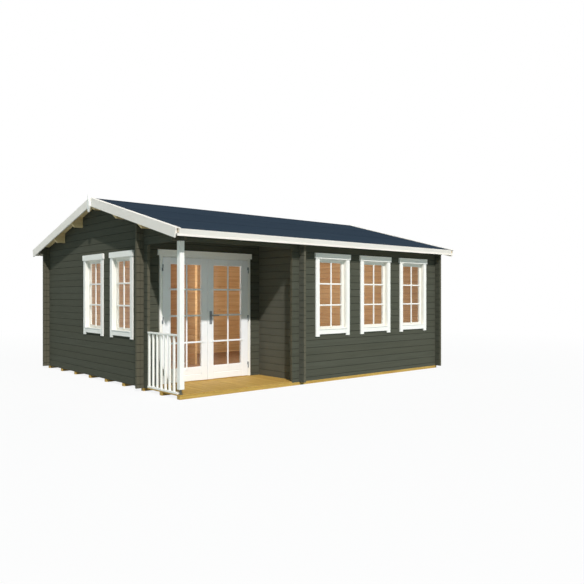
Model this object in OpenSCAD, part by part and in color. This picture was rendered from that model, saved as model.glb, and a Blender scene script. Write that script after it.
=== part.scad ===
// Log cabin with a recessed corner porch, double doors and a low pitched roof.
// Lengths are millimetres. The front faces -Y and the gable with the porch faces -X.
// Inside the modules x runs from the left gable, y from the front wall and z from the foot
// of the logs. cabin() moves that to the middle of the footprint, at ground level.

/* [Cabin] */
// Outside length of the walls, from gable to gable
cabin_len = 5600; // [5400:50:7000]
// Outside depth of the walls, from front to back
cabin_dep = 4800; // [4400:50:5600]
// Width of the recessed porch, from the left gable to its side wall
porch_w = 2100; // [2000:10:2300]
// Depth of the recessed porch, from the front to the door wall
porch_d = 1000; // [900:10:1120]
// Distance from the front to the free end of the inner partition
partition_y = 2970; // [2700:10:3100]

/* [Logs] */
// Thickness of a log
log_t = 44; // [36:1:60]
// Height of a log
log_h = 114; // [108:1:124]
// Whole courses in the front and back walls, above a half log at the foot
courses = 19; // [19:1:21]
// Bevel along the edges of a log, which makes the groove between two logs
log_bevel = 6; // [2:0.5:9]
// Length of the log ends past a corner
log_end = 110; // [70:5:140]
// Length of the front wall's log ends in the porch
porch_log_end = 140; // [90:5:170]
// Clearance in the notches where logs cross
notch_gap = 0.3; // [0.1:0.05:0.6]

/* [Base] */
// Height of the bearers under the walls
bearer_h = 45; // [35:1:70]
// Width of a bearer
bearer_w = 70; // [50:1:90]
// Bearers from the door wall to the back wall
rear_bearers = 7; // [5:1:9]
// Thickness of the floor and deck boards
floor_t = 18; // [15:1:24]
// Gap between the floors and the walls
floor_gap = 2; // [1:0.5:6]

/* [Roof] */
// Pitch of the roof in degrees
roof_pitch = 14.64; // [12:0.02:18]
// Reach of the roof past the front and back walls
eave_over = 267; // [200:1:340]
// Reach of the roof past the left gable
left_over = 212; // [170:1:300]
// Reach of the roof past the right gable
right_over = 190; // [150:1:300]
// Thickness of the roof boards
roof_board_t = 18; // [15:1:22]
// Clearance between the layers of the roof, where sloping faces lie on each other
bed_gap = 0.1; // [0.05:0.05:0.3]
// Thickness of the felt
felt_t = 3; // [2:0.5:5]
// Thickness of the barge boards
barge_t = 20; // [16:1:26]
// Width of the barge boards
barge_w = 123; // [100:1:150]
// Thickness of the cap boards along the edges of the roof
cap_t = 8; // [6:1:20]
// Width of the cap boards on the gable edges
cap_w = 80; // [60:1:130]
// Height of the eave fascia
fascia_h = 100; // [85:1:120]
// Thickness of the eave fascia
fascia_t = 18; // [14:1:24]
// Width of the board on the upper part of the fascia, which stands square to the roof
eave_board_w = 62; // [50:1:72]
// Width of a purlin
purlin_w = 44; // [36:1:60]
// Height of a purlin
purlin_h = 158; // [120:1:170]
// Purlins on each slope, besides the one at the ridge
slope_purlins = 2; // [1:1:3]
// Bevel under the ends of the purlins
purlin_bevel = 60; // [20:1:90]
// Height of a gable finial
finial_h = 278; // [240:2:340]
// Width of a gable finial
finial_w = 92; // [70:1:120]
// Thickness of a gable finial
finial_t = 28; // [18:1:36]
// Rise of a finial's point over the caps
finial_rise = 44; // [30:1:90]

/* [Porch] */
// Side of the square post
post_w = 70; // [68:1:100]
// Height of the bracket under the post
post_base_h = 69; // [40:1:90]
// Thickness of the bracket's plates
bracket_t = 6; // [4:0.5:8]
// Height of the railing over the deck
rail_h = 795; // [700:5:950]
// Thickness of the railing's two rails
rail_t = 25; // [20:1:32]
// Width of the railing's two rails
rail_w = 44; // [36:1:60]
// Side of a baluster
baluster_w = 28; // [22:1:34]
// Number of balusters
balusters = 7; // [5:1:8]

/* [Windows] */
// Share of the front wall's length that each of its three windows takes
window_share = 0.192; // [0.17:0.002:0.21]
// Wall beside the outer windows, over what stands between two windows
corner_extra = 26; // [0:1:60]
// Courses under the windows
sill_courses = 6.5; // [6:0.5:8]
// Courses under the heads of the windows and the door
head_courses = 17; // [17:0.5:17.5]
// Distance from the front to the middle of the first gable window
gable_window_y = 1695; // [1640:5:2000]
// Face width of a window frame
frame_w = 36; // [26:1:44]
// Depth of a window frame
frame_d = 76; // [76:1:90]
// Width of a sash's stiles
stile_w = 51; // [40:1:65]
// Height of a sash's bottom rail
sash_bottom = 58; // [45:1:75]
// Height of a sash's top rail
sash_top = 46; // [40:1:60]
// Thickness of a sash
sash_t = 32; // [28:1:40]
// Thickness of the glass
glass_t = 6; // [4:0.5:10]
// Width of the boards beside and under a window
trim_w = 78; // [65:1:95]
// Thickness of those boards
trim_t = 20; // [14:1:24]
// Height of the boards over the windows and the door
header_h = 85; // [70:1:110]
// Thickness of the boards over the windows and the door
header_t = 30; // [24:1:36]
// Reach of a header board past the side boards
header_ear = 19; // [5:1:40]

/* [Door] */
// Width of a door leaf
leaf_w = 773; // [700:1:790]
// Thickness of a door leaf
leaf_t = 44; // [38:1:54]
// Clearance around the leaves
leaf_gap = 5; // [5:0.5:7]
// Gap between the two leaves
meeting_gap = 8; // [8:0.5:12]
// Width of the stile at the meeting of the leaves
meeting_stile = 106; // [90:1:130]
// Width of the stile at the hinges
hinge_stile = 132; // [90:1:150]
// Height of a leaf's bottom rail
leaf_bottom = 210; // [120:5:400]
// Height of a leaf's top rail
leaf_top = 100; // [80:5:140]
// Height of the threshold over the foot of the logs
threshold_h = 25; // [22:0.5:28]
// Face width of the door jambs and head
jamb_w = 35; // [28:1:45]
// Reach of the stops behind the leaves
stop_w = 18; // [12:1:25]
// Width of the boards beside the door
door_trim_w = 44; // [30:1:60]
// Thickness of the boards beside the door
door_trim_t = 25; // [18:1:30]
// Outside radius of a hinge knuckle
knuckle_r = 7.5; // [6:0.25:8.5]
// Radius of a hinge pin
pin_r = 4; // [3:0.25:4.5]
// Running clearance around pins and the lever's spindle
pin_gap = 0.08; // [0.05:0.01:0.1]
// Height of a hinge
hinge_h = 96; // [80:1:120]
// Width of a handle plate
plate_w = 42; // [34:1:50]
// Height of a handle plate
plate_h = 205; // [180:1:240]
// Length of the door lever
lever_len = 118; // [90:1:135]
// Radius of the lever's grip
lever_r = 8; // [6:0.5:10]
// Reach of the lever's grip out of the handle plate
lever_reach = 45; // [38:1:55]

/* [Hidden] */
$fn = 48;

// Colours of the finishes
wall_paint = "#5b5c50";
white_paint = "#f4f1e6";
beige_paint = "#cdbf9f";
raw_timber = "#d2a55c";
felt_blue = "#39465a";
dark_metal = "#4b5055";
pane_tint = [0.75, 0.85, 0.88, 0.35];

// Clearance between pieces that are fitted beside each other
fit_gap = 0.3;
// Margin by which a cutting shape runs past what it cuts
past = 1;

// Levels of the walls, above the foot of the logs
plate_top = (courses + 0.5) * log_h;
eave_log_z = plate_top - log_h;
beam_z = eave_log_z - log_h / 2;
sill_z = sill_courses * log_h;
head_z = head_courses * log_h;

// Roof: slope, ridge and the planes of its layers, measured upright
slope = tan(roof_pitch);
ridge_y = cabin_dep / 2;
board_rise = roof_board_t / cos(roof_pitch);
felt_rise = board_rise + felt_t / cos(roof_pitch);
cap_rise = felt_rise + cap_t / cos(roof_pitch);
barge_short = 17;
barge_end = eave_over - barge_short;
// Upper board of the fascia: its reach in front, its lap on the lower one, and the notches that
// its ends leave beside the barge boards
eave_board_reach = 20;
eave_board_over = 4;
left_notch = 24;
right_notch = 95;
notch_depth = 80;
// Shares of a finial's height in its lower and upper points, and of its width over the step
finial_waist = 0.36;
finial_point = 0.4;
finial_slim = 0.72;
finial_step = 14;
roof_x0 = -left_over;
roof_x1 = cabin_len + right_over;

// Distance in front of a long wall at which the roof boards are level with its top course
roof_seat = 19;
// Underside of the roof boards at a distance y from the front
function roof_z(y) = plate_top + (min(y, cabin_dep - y) + roof_seat) * slope;
eave_top = roof_z(log_t) + past;

// Places of the walls
back_y = cabin_dep - log_t;
right_x = cabin_len - log_t;
gable_start = porch_d - log_end;

// Windows: three in the front wall and two of the same width in the left gable
front_len = cabin_len - porch_w;
window_w = window_share * front_len;
window_gap = (front_len - 3 * window_w - 2 * corner_extra) / 4;
window_pitch = window_w + window_gap;
front_mid = (porch_w + cabin_len) / 2;
front_windows = [for (i = [-1 : 1]) front_mid + i * window_pitch];
gable_windows = [for (i = [0 : 1]) gable_window_y + i * window_pitch];
window_h = head_z - sill_z;
sash_recess = 44;
glass_recess = 48;
trim_lap = 34;
trim_foot = 61;
header_lap = 23;
bottom_trim_h = 85;
bottom_trim_drop = 26;

// Door
door_x = (log_t + porch_w) / 2;
leaf_x0 = meeting_gap / 2;
leaf_x1 = leaf_x0 + leaf_w;
jamb_x = leaf_x1 + leaf_gap;
opening_x = jamb_x + jamb_w;
leaf_y = porch_d - door_trim_t;
leaf_z0 = threshold_h + leaf_gap;
door_head_t = 37;
door_head_z = head_z - door_head_t;
leaf_z1 = door_head_z - leaf_gap;
stop_y = leaf_y + leaf_t + leaf_gap;
frame_back = 60;
door_header_lap = 18;
door_header_z = head_z - door_header_lap;
door_header_ear = 28;
threshold_nose = 30;
hinge_x = leaf_x1 + leaf_gap / 2;
knuckle_gap = 1;
hinge_y = leaf_y - knuckle_r - knuckle_gap;
hinge_plate_w = 14;
hinge_plate_t = 3;
knuckle_split = 2;
hinge_foot = 175;
hinge_head = 159;
hinge_levels = [leaf_z0 + hinge_foot, (leaf_z0 + leaf_z1) / 2, leaf_z1 - hinge_head];
spindle_r = 5;
neck_r = 9;
handle_x = leaf_x0 + meeting_stile / 2;
handle_up = 957;
handle_z = leaf_z0 + handle_up;
lever_up = 30;
lever_z = handle_z + lever_up;
handle_plate_t = 8;
lever_clear = 0.5;

// Post and railing
post_z = floor_t + post_base_h;
bracket_inset = 11;
bracket_w = post_w - 2 * bracket_inset;
stem_r = 14;

// Moves the cabin to the middle of its footprint, on the ground
module cabin() {
    translate([-(cabin_len + right_over - left_over) / 2, -cabin_dep / 2, bearer_h]) children();
}

// Draws a front piece and its mirror image at the back
module front_and_back() {
    children();
    translate([0, cabin_dep, 0]) mirror([0, 1, 0]) children();
}

// Extrudes an outline of y and z along x
module along_x(x0, x1) {
    translate([x0, 0, 0]) rotate([90, 0, 90]) linear_extrude(x1 - x0) children();
}

// Extrudes an outline of x and z along y
module along_y(y0, y1) {
    translate([0, y1, 0]) rotate([90, 0, 0]) linear_extrude(y1 - y0) children();
}

// A box between two corners
module block(low, high) {
    translate(low) cube(high - low);
}

// Courses that the gables may reach above the long walls
gable_courses = 12;
// Joints between logs: phase 0.5 for walls along x, phase 0 for walls along y
function is_joint(z, phase) = abs(z / log_h - phase - round(z / log_h - phase)) < 0.01;
function inner_joints(z0, z1, phase) =
    [for (k = [0 : courses + gable_courses]) let (z = (k + phase) * log_h)
        if (z > z0 + log_bevel && z < z1 - log_bevel) z];

// Outer edge of a stack of logs from z0 to z1, with a groove at every joint
function log_edge(z0, z1, phase) = concat(
    is_joint(z0, phase) ? [[log_bevel, z0], [0, z0 + log_bevel]] : [[0, z0]],
    [for (z = inner_joints(z0, z1, phase)) each [[0, z - log_bevel], [log_bevel, z], [0, z + log_bevel]]],
    is_joint(z1, phase) ? [[0, z1 - log_bevel], [log_bevel, z1]] : [[0, z1]]
);
function reversed(list) = [for (i = [len(list) - 1 : -1 : 0]) list[i]];
function log_profile(z0, z1, phase) = concat(
    log_edge(z0, z1, phase),
    [for (p = reversed(log_edge(z0, z1, phase))) [log_t - p[0], p[1]]]
);

// Where logs cross, each keeps the middle half of its height. first is the share of a log's
// height at which the lowest block of the other wall begins.
module crossing_blocks(z0, z1, first, size) {
    for (k = [-1 : courses + gable_courses]) {
        z = (k + first) * log_h;
        if (z < z1 && z + log_h / 2 > z0)
            translate([0, 0, z - notch_gap / 2]) cube([size[0], size[1], log_h / 2 + notch_gap]);
    }
}

// Log wall along x with its outer face at y, notched for the walls that cross it at the xs
module x_wall(x0, x1, y, z0, z1, xs) {
    translate([0, y, 0]) difference() {
        along_x(x0, x1) polygon(log_profile(z0, z1, 0.5));
        for (x = xs)
            translate([x - notch_gap, -past, 0])
                crossing_blocks(z0, z1, 0.25, [log_t + 2 * notch_gap, log_t + 2 * past]);
    }
}

// Log wall along y with its outer face at x, notched for the walls that cross it at the ys
module y_wall(y0, y1, x, z0, z1, ys) {
    translate([x, 0, 0]) difference() {
        along_y(y0, y1) polygon(log_profile(z0, z1, 0));
        for (y = ys)
            translate([-past, y - notch_gap, 0])
                crossing_blocks(z0, z1, 0.75, [log_t + 2 * past, log_t + 2 * notch_gap]);
    }
}

// All the space under the roof boards
module under_roof() {
    reach = eave_over + past;
    eave_z = roof_z(-reach) - bed_gap;
    along_x(roof_x0 - past, roof_x1 + past)
        polygon([
            [-reach, -past], [-reach, eave_z], [ridge_y, roof_z(ridge_y) - bed_gap],
            [cabin_dep + reach, eave_z], [cabin_dep + reach, -past]
        ]);
}

// Middles of the purlins, from the front to the back
purlin_pitch = ridge_y / (slope_purlins + 1);
purlin_ys = [for (i = [-slope_purlins : slope_purlins]) ridge_y + i * purlin_pitch];
// Top of the lower edge of a purlin at its middle y
function purlin_top(y) = roof_z(y) - (y == ridge_y ? 0 : purlin_w / 2 * slope);

// Spaces that the purlins take in a log wall
module purlin_notches() {
    for (y = purlin_ys)
        block([roof_x0 - past, y - purlin_w / 2 - fit_gap, purlin_top(y) - purlin_h - fit_gap],
              [roof_x1 + past, y + purlin_w / 2 + fit_gap, roof_z(ridge_y) + past]);
}

// A log wall cut to the roof and notched for the purlins
module up_to_roof() {
    difference() {
        intersection() {
            children();
            under_roof();
        }
        purlin_notches();
    }
}

wall_limit = roof_z(ridge_y) + log_h;

module foundation_bearers() {
    pitch = (cabin_dep - porch_d - bearer_w) / (rear_bearers - 1);
    rear = [for (i = [0 : rear_bearers - 1]) porch_d + i * pitch];
    color(raw_timber) cabin()
        for (y = concat([0, porch_d / 2 - bearer_w / 2], rear))
            block([0, y, -bearer_h], [cabin_len, y + bearer_w, 0]);
}

module room_floors() {
    color(raw_timber) cabin() {
        // Left room, behind the porch
        block([log_t + floor_gap, porch_d + frame_back + floor_gap, 0],
              [porch_w - floor_gap, back_y - floor_gap, floor_t]);
        // Right room, with a tongue through the gap beside the partition
        difference() {
            block([porch_w, log_t + floor_gap, 0], [right_x - floor_gap, back_y - floor_gap, floor_t]);
            block([porch_w - past, 0, -past],
                  [porch_w + log_t + floor_gap, porch_d + log_t + log_end + floor_gap, floor_t + past]);
            block([porch_w - past, porch_d - floor_gap, -past],
                  [porch_w + log_t + log_end + floor_gap, porch_d + log_t + floor_gap, floor_t + past]);
            block([porch_w - past, partition_y - floor_gap, -past],
                  [porch_w + log_t + floor_gap, back_y, floor_t + past]);
        }
    }
}

module porch_deck() {
    color(raw_timber) cabin() difference() {
        block([0, 0, 0], [porch_w - floor_gap, porch_d - floor_gap, floor_t]);
        block([-past, gable_start - floor_gap, -past], [log_t + floor_gap, porch_d, floor_t + past]);
        block([porch_w - porch_log_end - floor_gap, -past, -past],
              [porch_w, log_t + floor_gap, floor_t + past]);
    }
}

module left_gable_lower() {
    color(wall_paint) cabin() y_wall(gable_start, cabin_dep + log_end, 0, 0, sill_z, [porch_d, back_y]);
}

module left_gable_piers() {
    half = window_w / 2;
    edges = concat([gable_start], [for (y = gable_windows) each [y - half, y + half]], [cabin_dep + log_end]);
    color(wall_paint) cabin()
        for (i = [0 : 2 : len(edges) - 2])
            y_wall(edges[i], edges[i + 1], 0, sill_z, head_z, [porch_d, back_y]);
}

module left_gable_lintel() {
    color(wall_paint) cabin() y_wall(gable_start, cabin_dep + log_end, 0, head_z, beam_z, [porch_d, back_y]);
}

module left_gable_top() {
    color(wall_paint) cabin() up_to_roof()
        y_wall(-log_end, cabin_dep + log_end, 0, beam_z, wall_limit, [0, porch_d, back_y]);
}

module right_gable_wall() {
    color(wall_paint) cabin() up_to_roof()
        y_wall(-log_end, cabin_dep + log_end, right_x, 0, wall_limit, [0, back_y]);
}

front_x0 = porch_w - porch_log_end;
front_x1 = cabin_len + log_end;

module front_wall_lower() {
    color(wall_paint) cabin() x_wall(front_x0, front_x1, 0, 0, sill_z, [porch_w, right_x]);
}

module front_wall_piers() {
    half = window_w / 2;
    edges = concat([front_x0], [for (x = front_windows) each [x - half, x + half]], [front_x1]);
    color(wall_paint) cabin()
        for (i = [0 : 2 : len(edges) - 2])
            x_wall(edges[i], edges[i + 1], 0, sill_z, head_z, [porch_w, right_x]);
}

module front_wall_upper() {
    color(wall_paint) cabin() x_wall(front_x0, front_x1, 0, head_z, eave_log_z, [porch_w, right_x]);
}

module back_wall() {
    color(wall_paint) cabin()
        x_wall(-log_end, front_x1, back_y, 0, eave_log_z, [0, porch_w, right_x]);
}

// Top logs of the long walls, planed to the roof. The front one also spans the porch.
module eave_logs() {
    x0 = roof_x0 + barge_t;
    x1 = roof_x1 - barge_t;
    color(wall_paint) cabin() {
        intersection() {
            union() {
                x_wall(x0, x1, 0, eave_log_z, eave_top, [0, porch_w, right_x]);
                x_wall(-log_end, front_x0 - fit_gap, 0, beam_z, eave_log_z, [0]);
            }
            under_roof();
        }
        intersection() {
            x_wall(x0, x1, back_y, eave_log_z, eave_top, [0, porch_w, right_x]);
            under_roof();
        }
    }
}

module door_wall_left() {
    color(wall_paint) cabin() x_wall(-log_end, door_x - opening_x, porch_d, 0, head_z, [0]);
}

door_wall_x1 = porch_w + log_t + log_end;

module door_wall_right() {
    color(wall_paint) cabin() x_wall(door_x + opening_x, door_wall_x1, porch_d, 0, head_z, [porch_w]);
}

module door_wall_top() {
    color(wall_paint) cabin() up_to_roof()
        x_wall(-log_end, door_wall_x1, porch_d, head_z, wall_limit, [0, porch_w]);
}

module porch_side_wall() {
    color(wall_paint) cabin() up_to_roof()
        y_wall(-log_end, porch_d + log_t + log_end, porch_w, 0, wall_limit, [0, porch_d]);
}

module partition_wall() {
    color(raw_timber) cabin() up_to_roof()
        y_wall(partition_y, cabin_dep + log_end, porch_w, 0, wall_limit, [back_y]);
}

// Purlins: their tops are planed to the roof, and their ends are bevelled from below
module purlins() {
    x0 = roof_x0 + barge_t;
    x1 = roof_x1 - barge_t;
    color(beige_paint) cabin()
        for (y = purlin_ys) {
            z0 = purlin_top(y) - purlin_h;
            bevel = [[0, 0], [purlin_bevel, 0], [0, purlin_bevel]];
            intersection() {
                difference() {
                    block([x0, y - purlin_w / 2, z0], [x1, y + purlin_w / 2, roof_z(ridge_y) + past]);
                    translate([x0 - past, 0, z0 - past])
                        along_y(y - purlin_w, y + purlin_w) polygon(bevel);
                    translate([x1 + past, 0, z0 - past]) mirror([1, 0, 0])
                        along_y(y - purlin_w, y + purlin_w) polygon(bevel);
                }
                under_roof();
            }
        }
}

// A layer of the front slope, between two heights above the underside of the boards
module slope_layer(rise0, rise1, y0, x0, x1) {
    y1 = ridge_y - fit_gap / 2;
    along_x(x0, x1)
        polygon([
            [y0, roof_z(y0) + rise0], [y1, roof_z(y1) + rise0],
            [y1, roof_z(y1) + rise1], [y0, roof_z(y0) + rise1]
        ]);
}

eave_y = -eave_over + fascia_t;

// Roof boards, with a notch at each corner behind the end of the fascia
module roof_boards() {
    x0 = roof_x0 + barge_t;
    x1 = roof_x1 - barge_t;
    color(beige_paint) cabin() front_and_back()
        difference() {
            slope_layer(0, board_rise, eave_y, x0, x1);
            for (run = [[x0 - past, x0 + left_notch], [x1 - right_notch, x1 + past]])
                block([run[0], eave_y - past, 0], [run[1], eave_y + notch_depth, roof_z(ridge_y)]);
        }
}

module roof_felt() {
    color(felt_blue) cabin() front_and_back()
        slope_layer(board_rise + bed_gap, felt_rise, eave_y, roof_x0 + barge_t, roof_x1 - barge_t);
}

// Barge boards beside the felt at the four sloping edges, cut square at their feet
module barge_boards() {
    y0 = -barge_end;
    y1 = ridge_y - fit_gap / 2;
    top = felt_rise - bed_gap;
    foot = [y0 + barge_w * sin(roof_pitch), roof_z(y0) + top - barge_w * cos(roof_pitch)];
    color(white_paint) cabin() front_and_back()
        for (x = [roof_x0, roof_x1 - barge_t])
            along_x(x, x + barge_t)
                polygon([
                    [y0, roof_z(y0) + top], [y1, roof_z(y1) + top],
                    [y1, roof_z(y1) + top - barge_w / cos(roof_pitch)], foot
                ]);
}

module edge_caps() {
    color(white_paint) cabin() front_and_back()
        for (x = [roof_x0, roof_x1 - cap_w])
            slope_layer(felt_rise + bed_gap, cap_rise, -barge_end, x, x + cap_w);
}

// Pointed boards over the meeting of the barge boards
module gable_finials() {
    top = roof_z(ridge_y) + cap_rise + finial_rise;
    foot = top - finial_h;
    waist = foot + finial_waist * finial_h;
    neck = waist + finial_step;
    shoulder = top - finial_point * finial_h;
    half = finial_w / 2;
    slim = finial_slim * half;
    outline = [
        [0, foot], [half, waist], [slim, neck], [slim, shoulder], [0, top],
        [-slim, shoulder], [-slim, neck], [-half, waist]
    ];
    color(white_paint) cabin()
        for (x = [roof_x0 - finial_t, roof_x1])
            along_x(x, x + finial_t) translate([ridge_y, 0]) polygon(outline);
}

// Fascia at each eave: an upright strip between the barge boards, and above it a board that
// stands square to the roof and stops short of them
module eave_fascias() {
    y0 = -eave_over;
    x0 = roof_x0 + barge_t;
    x1 = roof_x1 - barge_t;
    foot = roof_z(y0) + cap_rise - fascia_h;
    front_y = y0 - eave_board_reach;
    front_z = roof_z(front_y) + felt_rise - bed_gap;
    low_y = front_y + eave_board_w * sin(roof_pitch);
    low_z = front_z - eave_board_w * cos(roof_pitch);
    strip_top = low_z + eave_board_over;
    strip = [[y0, foot], [eave_y, foot], [eave_y, strip_top], [y0, strip_top]];
    boards = [
        [front_y, front_z], [low_y, low_z], [y0, low_z], [y0, foot], [eave_y, foot],
        [eave_y, roof_z(eave_y) + felt_rise - bed_gap]
    ];
    color(white_paint) cabin() front_and_back() {
        for (run = [[x0, x0 + left_notch], [x1 - right_notch, x1]])
            along_x(run[0], run[1]) polygon(strip);
        along_x(x0 + left_notch, x1 - right_notch) polygon(boards);
    }
}

module porch_post() {
    color(white_paint) cabin() block([0, 0, post_z], [post_w, post_w, beam_z]);
}

// Bracket that lifts the post off the deck: two plates and a stem
module post_base() {
    mid = post_w / 2;
    half = bracket_w / 2;
    color(dark_metal) cabin() {
        block([mid - half, mid - half, floor_t], [mid + half, mid + half, floor_t + bracket_t]);
        translate([mid, mid, floor_t]) cylinder(r = stem_r, h = post_base_h);
        block([mid - half, mid - half, post_z - bracket_t], [mid + half, mid + half, post_z]);
    }
}

module porch_railing() {
    y0 = post_w;
    y1 = gable_start;
    top = floor_t + rail_h;
    pitch = (y1 - y0) / balusters;
    inset = (rail_w - baluster_w) / 2;
    color(white_paint) cabin() {
        block([0, y0, floor_t], [rail_w, y1, floor_t + rail_t]);
        block([0, y0, top - rail_t], [rail_w, y1, top]);
        for (i = [0 : balusters - 1]) {
            y = y0 + (i + 0.5) * pitch - baluster_w / 2;
            block([inset, y, floor_t + rail_t], [inset + baluster_w, y + baluster_w, top - rail_t]);
        }
    }
}

// A flat ring standing in a wall: outer and inner outlines from x, z corners
module ring(outer0, outer1, inner0, inner1, y0, y1) {
    difference() {
        block([outer0[0], y0, outer0[1]], [outer1[0], y1, outer1[1]]);
        block([inner0[0], y0 - past, inner0[1]], [inner1[0], y1 + past, inner1[1]]);
    }
}

// Places a window's pieces at every window: x from its middle, y inwards from the wall's face
module each_window() {
    for (x = front_windows)
        translate([x, 0, 0]) children();
    for (y = gable_windows)
        translate([0, y, 0]) rotate(-90) children();
}

sash_half = window_w / 2 - frame_w;
pane_half = sash_half - stile_w;
pane_z0 = sill_z + frame_w + sash_bottom;
pane_z1 = head_z - frame_w - sash_top;

// Frame and closed sash of a window
module window_frames() {
    half = window_w / 2 - fit_gap;
    color(white_paint) cabin() each_window() union() {
        ring([-half, sill_z], [half, head_z], [-sash_half, sill_z + frame_w], [sash_half, head_z - frame_w],
             0, frame_d);
        ring([-sash_half, sill_z + frame_w], [sash_half, head_z - frame_w],
             [-pane_half, pane_z0], [pane_half, pane_z1], sash_recess, sash_recess + sash_t);
    }
}

module window_glass() {
    half = pane_half - fit_gap;
    color(pane_tint) cabin() each_window()
        block([-half, glass_recess, pane_z0], [half, glass_recess + glass_t, pane_z1]);
}

// Boards around a window: two sides, a cross board below and a header
module window_trim() {
    half = window_w / 2 - trim_lap + trim_w;
    inner = half - trim_w;
    header_z = head_z - header_lap;
    cross_z = sill_z - bottom_trim_drop;
    color(white_paint) cabin() each_window() {
        for (x = [-half, inner])
            block([x, -trim_t, sill_z - trim_foot], [x + trim_w, 0, header_z]);
        block([-inner, -trim_t, cross_z], [inner, 0, cross_z + bottom_trim_h]);
        block([-half - header_ear, -header_t, header_z], [half + header_ear, 0, header_z + header_h]);
    }
}

// Moves to the middle of the doorway
module at_door() {
    cabin() translate([door_x, 0, 0]) children();
}

// Draws a piece at the right side of the doorway and its mirror image at the left
module both_sides() {
    children();
    mirror([1, 0, 0]) children();
}

module door_frame() {
    color(white_paint) at_door() {
        both_sides()
            block([jamb_x, porch_d, threshold_h],
                  [opening_x - fit_gap, porch_d + frame_back, door_head_z - fit_gap]);
        block([-opening_x, porch_d, door_head_z], [opening_x, porch_d + frame_back, head_z]);
    }
}

module door_stops() {
    back = porch_d + frame_back;
    color(white_paint) at_door() {
        both_sides()
            block([jamb_x - stop_w, stop_y, threshold_h], [jamb_x, back, door_head_z - stop_w - fit_gap]);
        block([-jamb_x, stop_y, door_head_z - stop_w], [jamb_x, back, door_head_z]);
    }
}

module door_threshold() {
    color(raw_timber) at_door() along_x(-opening_x + fit_gap, opening_x - fit_gap)
        polygon([
            [porch_d, 0], [porch_d + frame_back, 0], [porch_d + frame_back, threshold_h],
            [porch_d - threshold_nose, threshold_h], [porch_d - threshold_nose, floor_t], [porch_d, floor_t]
        ]);
}

module door_trim() {
    half = jamb_x + door_trim_w + door_header_ear;
    color(white_paint) at_door() {
        both_sides()
            block([jamb_x, leaf_y, threshold_h], [jamb_x + door_trim_w, porch_d, door_header_z - fit_gap]);
        block([-half, porch_d - header_t, door_header_z], [half, porch_d, door_header_z + header_h]);
    }
}

// A hinge plate of half the hinge's height, reaching out from the pin
module hinge_plate(z0, height) {
    block([hinge_x, leaf_y - hinge_plate_t, z0], [hinge_x + hinge_plate_w, leaf_y, z0 + height]);
}

knuckle_h = (hinge_h - knuckle_split) / 2;

// Fixed halves of the hinges: lower knuckle, pin and plate
module door_hinge_pins() {
    color(dark_metal) at_door() both_sides()
        for (level = hinge_levels) {
            z0 = level - hinge_h / 2;
            translate([hinge_x, hinge_y, z0]) cylinder(r = knuckle_r, h = knuckle_h);
            translate([hinge_x, hinge_y, z0]) cylinder(r = pin_r, h = hinge_h);
            hinge_plate(z0, knuckle_h);
        }
}

// Moving halves of the hinges on the right leaf: upper knuckle around the pin, and plate
module leaf_hinges() {
    for (level = hinge_levels) {
        z0 = level + knuckle_split / 2;
        difference() {
            union() {
                translate([hinge_x, hinge_y, z0]) cylinder(r = knuckle_r, h = knuckle_h);
                translate([2 * hinge_x, 0, 0]) mirror([1, 0, 0]) hinge_plate(z0, knuckle_h);
            }
            translate([hinge_x, hinge_y, z0 - past])
                cylinder(r = pin_r + pin_gap, h = knuckle_h + 2 * past);
        }
    }
}

leaf_pane_x0 = leaf_x0 + meeting_stile;
leaf_pane_x1 = leaf_x1 - hinge_stile;
leaf_pane_z0 = leaf_z0 + leaf_bottom;
leaf_pane_z1 = leaf_z1 - leaf_top;

// Stiles and rails of the right leaf
module leaf() {
    ring([leaf_x0, leaf_z0], [leaf_x1, leaf_z1], [leaf_pane_x0, leaf_pane_z0], [leaf_pane_x1, leaf_pane_z1],
         leaf_y, leaf_y + leaf_t);
}

module leaf_glass() {
    y = leaf_y + (leaf_t - glass_t) / 2;
    block([leaf_pane_x0 + fit_gap, y, leaf_pane_z0], [leaf_pane_x1 - fit_gap, y + glass_t, leaf_pane_z1]);
}

// Hole for the lever's spindle
module spindle_hole() {
    translate([handle_x, leaf_y - handle_plate_t - past, lever_z]) rotate([-90, 0, 0])
        cylinder(r = spindle_r + pin_gap, h = leaf_t + 2 * handle_plate_t + 2 * past);
}

module left_door_leaf() {
    color(white_paint) at_door() mirror([1, 0, 0]) leaf();
}

module left_leaf_glass() {
    color(pane_tint) at_door() mirror([1, 0, 0]) leaf_glass();
}

module left_leaf_hinges() {
    color(dark_metal) at_door() mirror([1, 0, 0]) leaf_hinges();
}

module right_door_leaf() {
    color(white_paint) at_door() difference() {
        leaf();
        spindle_hole();
    }
}

module right_leaf_glass() {
    color(pane_tint) at_door() leaf_glass();
}

module right_leaf_hinges() {
    color(dark_metal) at_door() leaf_hinges();
}

module handle_plates() {
    z0 = handle_z - plate_h / 2;
    color(dark_metal) at_door()
        for (y = [leaf_y - handle_plate_t, leaf_y + leaf_t])
            difference() {
                block([handle_x - plate_w / 2, y, z0], [handle_x + plate_w / 2, y + handle_plate_t, z0 + plate_h]);
                spindle_hole();
            }
}

// Lever on both faces of the leaf, on one spindle
module door_lever() {
    front = leaf_y - handle_plate_t;
    back = leaf_y + leaf_t + handle_plate_t;
    color(dark_metal) at_door() translate([handle_x, 0, lever_z]) {
        translate([0, front - lever_reach, 0]) rotate([-90, 0, 0])
            cylinder(r = spindle_r, h = back - front + 2 * lever_reach);
        for (y = [front - lever_reach, back + lever_clear])
            translate([0, y, 0]) rotate([-90, 0, 0]) cylinder(r = neck_r, h = lever_reach - lever_clear);
        for (y = [front - lever_reach, back + lever_reach]) {
            translate([0, y, 0]) rotate([0, 90, 0]) cylinder(r = lever_r, h = lever_len);
            translate([0, y, 0]) sphere(r = neck_r);
        }
    }
}

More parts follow.
